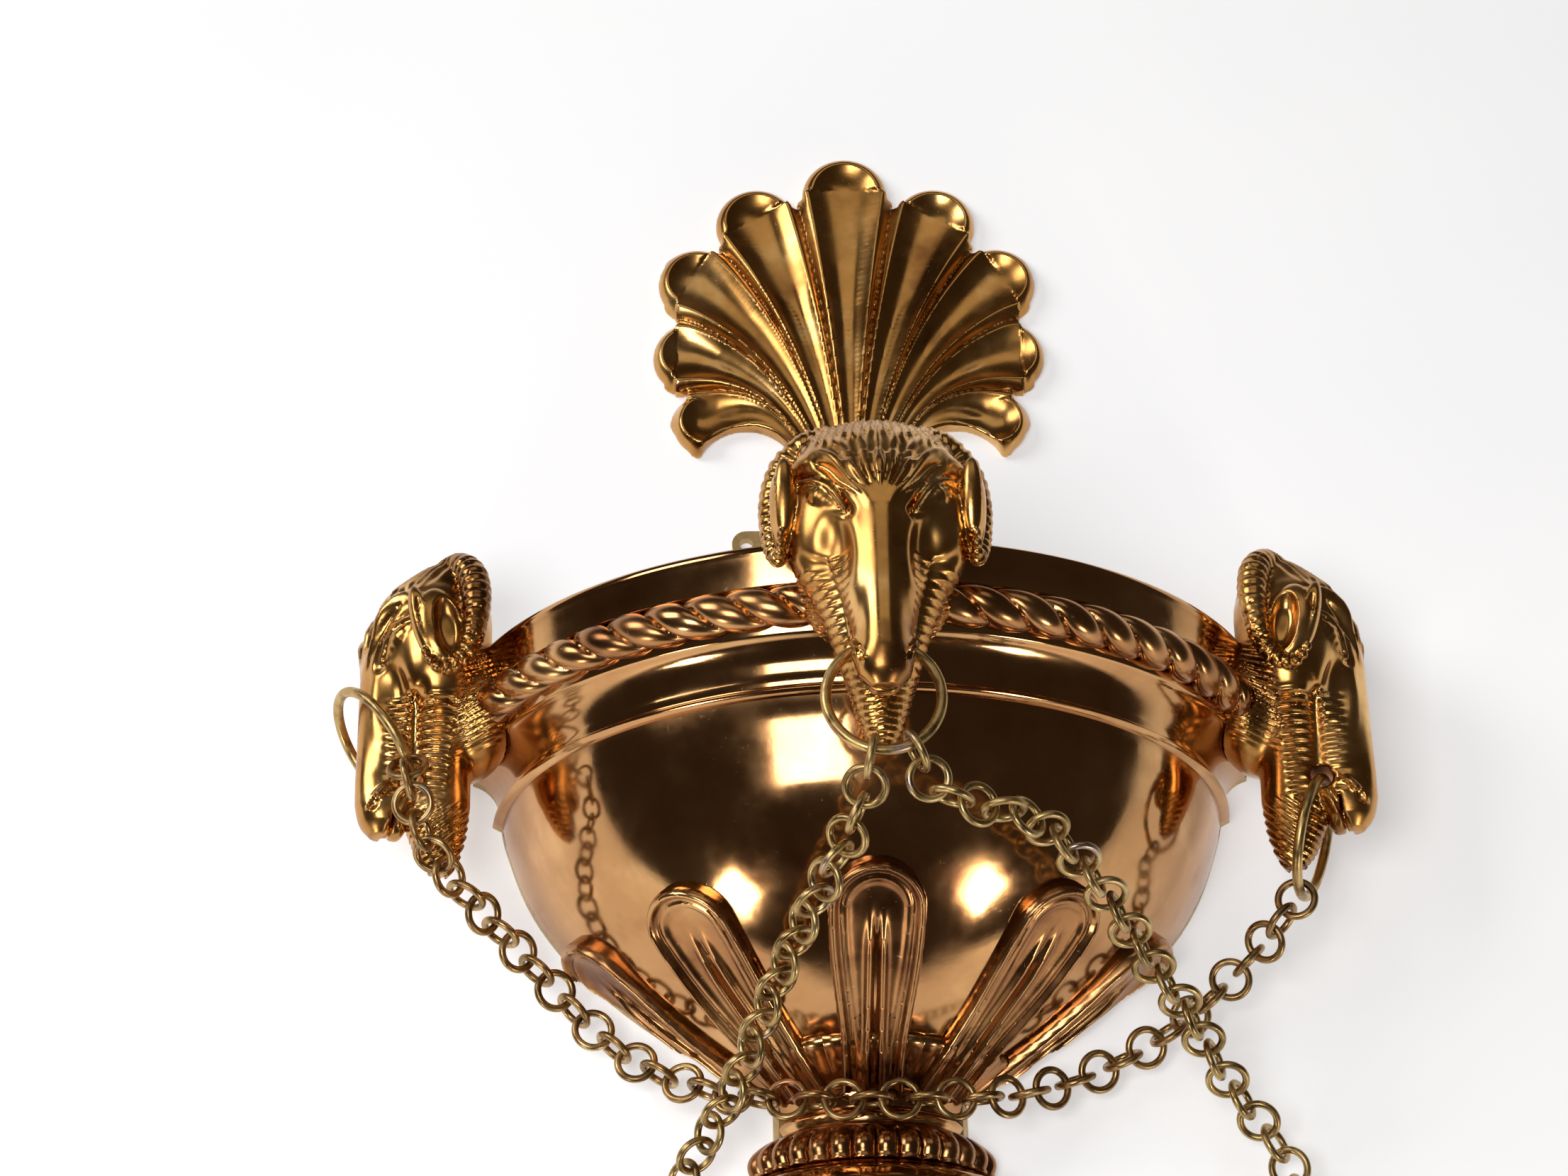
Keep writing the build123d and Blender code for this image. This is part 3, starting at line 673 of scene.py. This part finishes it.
def leaf_mesh(step):
    """One tongue leaf laid flat: across, along from the neck to the tip, and height."""
    length, tip_r = 60.5, 11.0
    p = lattice((-14.5, -2, -1.6), (14.5, length + 1.5, 6.0), step)
    x, y = p[0][:, :, 0], p[1][:, :, 0]
    middle = length - tip_r
    half = 7.2 + (tip_r - 7.2) * ease(y, 2, middle)
    gap = np.where(y > middle, np.hypot(x, y - middle), np.abs(x))
    half = np.where(y > middle, tip_r, half)
    q = gap / half
    lip = 1.5 * np.exp(-((gap - half + 1.3) / 1.15) ** 2) + 0.55 * np.exp(-((gap - half + 4.0) / 1.0) ** 2)
    groove = -0.4 * np.exp(-((gap - half + 2.7) / 0.6) ** 2)
    trough = -1.2 * (1 - q ** 2) * ease(y, 8, 26)
    rib = 1.5 * np.exp(-((np.abs(x) - 1.5) / 1.0) ** 2) - 0.9 * np.exp(-(x / 0.7) ** 2)
    rib = rib * (1 - ease(y, middle - 14, middle + 2))
    lift = 1.2 * ease(y, middle - 10, length)
    height = 1.5 + lip + groove + trough + rib + lift
    outline = gap - half
    roll = 1.3
    drop = np.clip(outline + roll, 0, roll)
    height = height - roll + np.sqrt(roll ** 2 - drop ** 2)
    f = np.maximum(p[2] - height[..., None], outline[..., None])
    f = np.maximum(f, np.maximum(-0.9 - p[2], -1.5 - p[1]))
    return surface_net(f.astype(np.float32), (-14.5, -2, -1.6), step)


def on_underside(verts, azimuth):
    """Bend a flat leaf on to the bowl: along its profile from the neck, and round its axis."""
    line = smooth_line(BODY[::-1], 240)
    along = np.concatenate([[0], np.cumsum(np.linalg.norm(np.diff(line, axis=0), axis=1))])
    slope = np.gradient(line, along, axis=0)
    slope /= np.linalg.norm(slope, axis=1)[:, None]
    across, run, height = verts.T
    radius = np.interp(run, along, line[:, 0])
    z = np.interp(run, along, line[:, 1])
    out_r = np.interp(run, along, -slope[:, 1] * -1)
    out_z = np.interp(run, along, -slope[:, 0])
    limit = np.arccos(np.clip((AXIS_Y - BACK_Y) / radius, -1, 1))
    angle = radians(azimuth) + across / np.maximum(radius, 12.0)
    height = np.where(np.abs(angle) > limit, np.minimum(height, 0.3), height)
    return cylindrical(radius + out_r * height, np.clip(angle, -limit, limit), z + out_z * height)


def calyx(metal):
    """Five tongue leaves and a fluted collar round the neck."""
    flat, faces = leaf_mesh(0.5)
    verts, polys = [], []
    for azimuth in LEAF_AZIMUTHS:
        placed = on_underside(flat, azimuth)
        polys += [[k + len(verts) * len(flat) for k in f] for f in faces.tolist()]
        verts.append(placed)
    leaves = make_object("leaf_calyx_carved", np.vstack(verts), polys, metal, stands_for=["leaf_calyx"],
                         cavity_gain=1.3)

    def flutes(azimuth, z):
        return 0.45 * np.abs(np.cos(azimuth * 24)) * window(z, -100.5, -93, 1.5)
    profile = [(20.0, -96.0), (35.0, -92.6), (36.2, -93.4), (35.4, -94.8), (30.5, -98.0), (26.5, -100.4),
               (24.6, -101.6), (20.0, -101.8)]
    line = smooth_line(profile, 50)
    skin, quads = closed_turning(line, 481, BACK_Y, flutes)
    collar = make_object("leaf_collar", skin, quads, metal, cavity_gain=1.2)
    return leaves, collar


# ---- turned parts below the bowl ----
def gadroon(azimuth, depth, count, phase=0.0):
    """Rounded lobes round an axis, parted by sharp grooves."""
    return -depth * (1 - np.abs(np.sin(count * azimuth / 2 + phase)) ** 0.55)


def knop(metal):
    """Knop with rounded gadroons under a plain lip."""
    line = smooth_line([(10.0, NECK_END), (22.0, NECK_END), (25.4, -110.2), (27.6, -111.4), (29.8, -113.6),
                        (30.6, -115.8), (30.0, -118.0), (28.4, KNOP_END), (10.0, KNOP_END)], 90)

    def relief(azimuth, z):
        return gadroon(azimuth, 2.1, 34) * window(z, -119.4, -111.6, 0.8)
    verts, faces = closed_turning(line, 901, -0.3, relief)
    return make_object("knop_gadroons", verts, faces, metal, stands_for=["gadrooned_knop"], cavity_gain=1.0)


def boss(metal):
    """Plain turned boss below the knop."""
    line = smooth_line([(10.0, KNOP_END), (27.6, KNOP_END), (30.4, -120.4), (31.4, -121.0), (34.6, -122.8),
                        (36.4, -126.6), (35.6, -130.0), (31.6, -133.6), (26.0, -135.6), (22.4, -136.2),
                        (21.8, BOSS_END), (8.0, BOSS_END)], 90)
    verts, faces = closed_turning(line, 361, -0.3)
    return make_object("boss_turned", verts, faces, metal, stands_for=["turned_boss"], cavity_gain=0.5)


def finial(metal):
    """Drop finial: fillet, fluted bud and a small turned tip."""
    line = smooth_line([(6.0, BOSS_END), (19.6, BOSS_END), (19.9, -138.2), (18.4, -139.6), (17.6, -141.4),
                        (19.4, -143.8), (21.8, -147.4), (22.3, -152.6), (20.6, -158.0), (17.4, -164.0),
                        (14.2, -168.4), (12.4, -169.6), (12.8, -170.6), (13.2, -172.0), (12.4, -174.2),
                        (10.6, FINIAL_END), (6.0, FINIAL_END)], 130)

    def relief(azimuth, z):
        return gadroon(azimuth, 1.3, 28) * window(z, -167.5, -144.0, 1.6)
    verts, faces = closed_turning(line, 601, -0.3, relief)
    return make_object("finial_bud", verts, faces, metal, stands_for=["drop_finial"], cavity_gain=1.0)


# ---- heads ----
def ram_heads(metal, step):
    """The same carved head at the front and at both sides."""
    flat, faces = ram_head_mesh(step)
    for side, azimuth in (("front", 0.0), ("left", -SIDE_AZIMUTH), ("right", SIDE_AZIMUTH)):
        a = radians(azimuth)
        lateral, out, up = flat.T
        out = HEAD_DEPTH * out + RIM_R
        across = out * sin(a) + lateral * cos(a)
        depth = np.minimum(AXIS_Y - out * cos(a) + lateral * sin(a), BACK_Y + 2.0)
        make_object(f"ram_carved_{side}", np.stack([across, depth, up], 1), faces, metal,
                    stands_for=[f"ram_head_{side}"], cavity_gain=1.6)


# ---- glass, candle and wick ----
GLASS_Y, GLASS_R, GLASS_FLOOR, GLASS_TOP = -36.4, 28.0, -46.9, 6.0


def full_turning(name, profile, columns, centre_y, material, body, stands_for):
    """Full turning about an upright axis, from a closed profile that starts and ends on the axis."""
    line = np.array(profile, float)
    angle = np.linspace(0, 2 * pi, columns, endpoint=False)[None]
    radius, z = line[1:-1, 0][:, None], line[1:-1, 1][:, None]
    points = np.stack([radius * np.sin(angle), centre_y - radius * np.cos(angle), z + 0 * angle], -1)
    rows = points.shape[0]
    verts = np.vstack([points.reshape(-1, 3), [[0, centre_y, line[0, 1]], [0, centre_y, line[-1, 1]]]])
    faces = [list(f)[::-1] for f in grid_faces(rows, columns, closed=True)]
    first, last = rows * columns, rows * columns + 1
    for k in range(columns):
        n = (k + 1) % columns
        faces.append([first, n, k])
        faces.append([last, (rows - 1) * columns + k, (rows - 1) * columns + n])
    return make_object(name, verts, faces, material, body=body, stands_for=stands_for)


def lamp_glass(glass, candle_wax, wick):
    """Tumbler with a rounded lip, a candle with a melted pool, and its bent wick."""
    r, top, floor = GLASS_R, GLASS_TOP, GLASS_FLOOR
    lip = [(r - 1.0 + cos(radians(a)), top - 1.0 + sin(radians(a))) for a in range(0, 181, 20)]
    foot = [(r - 1.6 * (1 - sin(radians(a))), floor + 1.6 * (1 - cos(radians(a)))) for a in range(0, 91, 15)]
    inner = [(r - 2.0, floor + 6.0), (r - 2.6, floor + 4.2), (r - 4.4, floor + 3.2), (8.0, floor + 3.0)]
    outer = [(8.0, floor + 0.8), (16.0, floor + 0.5), (20.0, floor)]
    skin = [(0, floor + 1.0)] + outer + foot + lip + inner + [(0, floor + 3.0)]
    full_turning("glass_tumbler", skin, 128, GLASS_Y, glass, "glass", ["glass_cup"])
    low, high = floor + 3.0, floor + 33.0
    pool = [(24.2, low + 0.1), (24.5, low + 1.0), (24.5, high - 1.6), (24.1, high - 0.4), (23.2, high),
            (22.0, high - 0.5), (19.0, high - 2.2), (13.0, high - 3.2), (5.0, high - 3.6), (2.0, high - 3.3)]
    full_turning("candle_pool", [(0, low + 0.1)] + pool + [(0, high - 3.0)], 96, GLASS_Y, candle_wax, "glass",
                 ["candle"])
    line = smooth_line([(0, GLASS_Y, high - 5.0), (0, GLASS_Y, high + 0.5), (0.25, GLASS_Y, high + 4.5),
                        (0.5, GLASS_Y - 0.2, high + 7.6)], 40)
    angle = np.linspace(0, 2 * pi, 20, endpoint=False)
    rings = []
    for k, spot in enumerate(line):
        braid = 0.62 + 0.12 * np.abs(np.sin(3 * angle + k * 0.9))
        rings.append(spot + np.stack([braid * np.cos(angle), braid * np.sin(angle), 0 * angle], 1))
    faces = [list(f) for f in grid_faces(40, 20, closed=True)]
    faces += [list(range(20))[::-1], list(range(780, 800))]
    make_object("wick_braid", np.vstack(rings), faces, wick, body="glass",
                stands_for=["wick"])


# ---- camera, lights and the pale table the lamp lies on ----
def camera():
    """View from below the lamp, as it lies on its back on a table."""
    place = Vector((-36.62, -714.62, -324.92)) * MM
    ahead = Vector((0.0234, 0.8933, 0.4489)).normalized()
    yaw, roll = 0.0262, -0.0172
    right = Vector((cos(yaw), -sin(yaw), 0))
    right = (right - ahead * right.dot(ahead)).normalized()
    up = right.cross(ahead)
    turned_right = right * cos(roll) + up * sin(roll)
    turned_up = up * cos(roll) - right * sin(roll)
    data = bpy.data.cameras.new("camera")
    data.sensor_width = 36.0
    data.lens = 73.0
    data.clip_start, data.clip_end = 0.02, 20.0
    view = bpy.data.objects.new("camera", data)
    axes = Matrix((turned_right, turned_up, -ahead)).transposed().to_4x4()
    view.matrix_world = Matrix.Translation(place) @ axes
    bpy.context.scene.collection.objects.link(view)
    bpy.context.scene.camera = view


def softbox(name, place, aim, size, power, colour=(1, 1, 1)):
    """Rectangular light; place and aim in millimetres."""
    data = bpy.data.lights.new(name, "AREA")
    data.shape = "RECTANGLE"
    data.size, data.size_y = (s * MM for s in size)
    data.energy = power
    data.color = colour
    obj = bpy.data.objects.new(name, data)
    obj.location = Vector(place) * MM
    obj.rotation_euler = (Vector(aim) * MM - obj.location).to_track_quat("-Z", "Y").to_euler()
    bpy.context.scene.collection.objects.link(obj)


def table():
    """Pale sheet behind the lamp. Seen from behind it lets the camera through."""
    mesh = bpy.data.meshes.new("table_sheet")
    side, y = 2600 * MM, 0.35 * MM
    corners = [(-side, y, -side), (side, y, -side), (side, y, side), (-side, y, side)]
    mesh.from_pydata(corners, [], [(0, 1, 2, 3)])
    obj = bpy.data.objects.new("table_sheet", mesh)
    bpy.context.scene.collection.objects.link(obj)
    m = Nodes("table_sheet")
    m.set(Base_Color=m.ramp(m.noise(0.004, 3), [(0.3, (0.86, 0.86, 0.87)), (0.7, (0.90, 0.90, 0.90))]),
          Roughness=0.7, Emission_Color=(0.97, 0.98, 1.0), Emission_Strength=0.42)
    m.bump((m.noise(0.05, 3), 0.03, 0.2))
    clear = m.add("ShaderNodeBsdfTransparent").outputs[0]
    blend = m.add("ShaderNodeMixShader")
    m.link(m.add("ShaderNodeNewGeometry").outputs["Backfacing"], blend.inputs[0])
    m.link(m.shader.outputs[0], blend.inputs[1])
    m.link(clear, blend.inputs[2])
    m.link(blend.outputs[0], m.tree.nodes["Material Output"].inputs["Surface"])
    mesh.materials.append(m.material)


def studio():
    """Dim room for dark reflections, with a pale backdrop for the camera and four soft lights."""
    world = bpy.data.worlds.new("room")
    bpy.context.scene.world = world
    world.use_nodes = True
    tree = world.node_tree
    room = tree.nodes["Background"]
    room.inputs["Color"].default_value = (0.045, 0.035, 0.028, 1)
    backdrop = tree.nodes.new("ShaderNodeBackground")
    backdrop.inputs["Color"].default_value = (0.86, 0.87, 0.88, 1)
    path = tree.nodes.new("ShaderNodeLightPath")
    blend = tree.nodes.new("ShaderNodeMixShader")
    tree.links.new(path.outputs["Is Camera Ray"], blend.inputs[0])
    tree.links.new(room.outputs[0], blend.inputs[1])
    tree.links.new(backdrop.outputs[0], blend.inputs[2])
    tree.links.new(blend.outputs[0], tree.nodes["World Output"].inputs["Surface"])
    bowl_spot = (-14, -75, -43)
    softbox("window", (-272, -896, -306), bowl_spot, (380, 360), 3.6)
    softbox("lamp_right", (482, -262, -815), (23, -55, -69), (150, 150), 1.6, (1.0, 0.96, 0.9))
    softbox("lamp_left", (-525, -208, -803), (-32, -55, -65), (150, 150), 1.3, (1.0, 0.96, 0.9))
    softbox("sky", (-1500, -1200, 650), (0, 0, 0), (900, 900), 16)
    softbox("ceiling", (100, -1900, 1250), (0, -60, 60), (1700, 1000), 3.6, (1.0, 0.96, 0.88))
    softbox("rear_fill", (300, 1200, 700), (0, 0, 0), (1000, 1000), 6)
    bpy.context.scene.view_settings.view_transform = "Standard"


# ---- build ----
step = 0.45
gilt_bronze = gilt("gilt_bronze", (0.24, 0.10, 0.03), (0.54, 0.27, 0.075), (0.80, 0.49, 0.19))
polished_bronze = gilt("polished_bronze", (0.38, 0.17, 0.07), (0.50, 0.26, 0.105), (0.64, 0.36, 0.15),
                       smooth=0.08, rough=0.17, patina=(0.30, 0.14, 0.05), dust=0.12, grain=0.3)
rope_bronze = gilt("rope_bronze", (0.22, 0.09, 0.035), (0.44, 0.21, 0.08), (0.66, 0.38, 0.16), 0.17, 0.3)
leaf_bronze = gilt("leaf_bronze", (0.18, 0.07, 0.028), (0.38, 0.18, 0.07), (0.60, 0.33, 0.13), 0.18, 0.36)
plain_brass = satin_metal("plain_brass", (0.36, 0.23, 0.09), (0.60, 0.42, 0.19))
steel = satin_metal("steel_fixings", (0.30, 0.28, 0.26), (0.52, 0.50, 0.47), (0.25, 0.45))
swag_brass = wire_brass("swag_brass", (0.36, 0.22, 0.09))
chain_brass = wire_brass("chain_brass", (0.42, 0.285, 0.115))
ring_brass = wire_brass("ring_brass", (0.52, 0.34, 0.13))

bowl(polished_bronze)
rope(rope_bronze)
palmette(gilt_bronze)
calyx(leaf_bronze)
knop(leaf_bronze)
boss(polished_bronze)
finial(gilt_bronze)
ram_heads(gilt_bronze, step)
lamp_glass(ruby_glass(), wax(), cotton())

kept_from_cad = [
    (ring_brass, ["ring_front", "ring_left", "ring_right"]),
    (chain_brass, ["chain_front"]),
    (swag_brass, ["chain_swag"]),
    (plain_brass, ["back_plate", "bowl_tabs", "glass_bracket"]),
    (steel, ["tab_screws", "crest_screws", "bracket_screws", "head_screw_front", "head_screw_left",
             "head_screw_right", "tie_rod", "tie_washer", "tie_nut"])]
for metal, names in kept_from_cad:
    for name in names:
        NODES[name].data.materials.clear()
        NODES[name].data.materials.append(metal)

camera()
table()
studio()
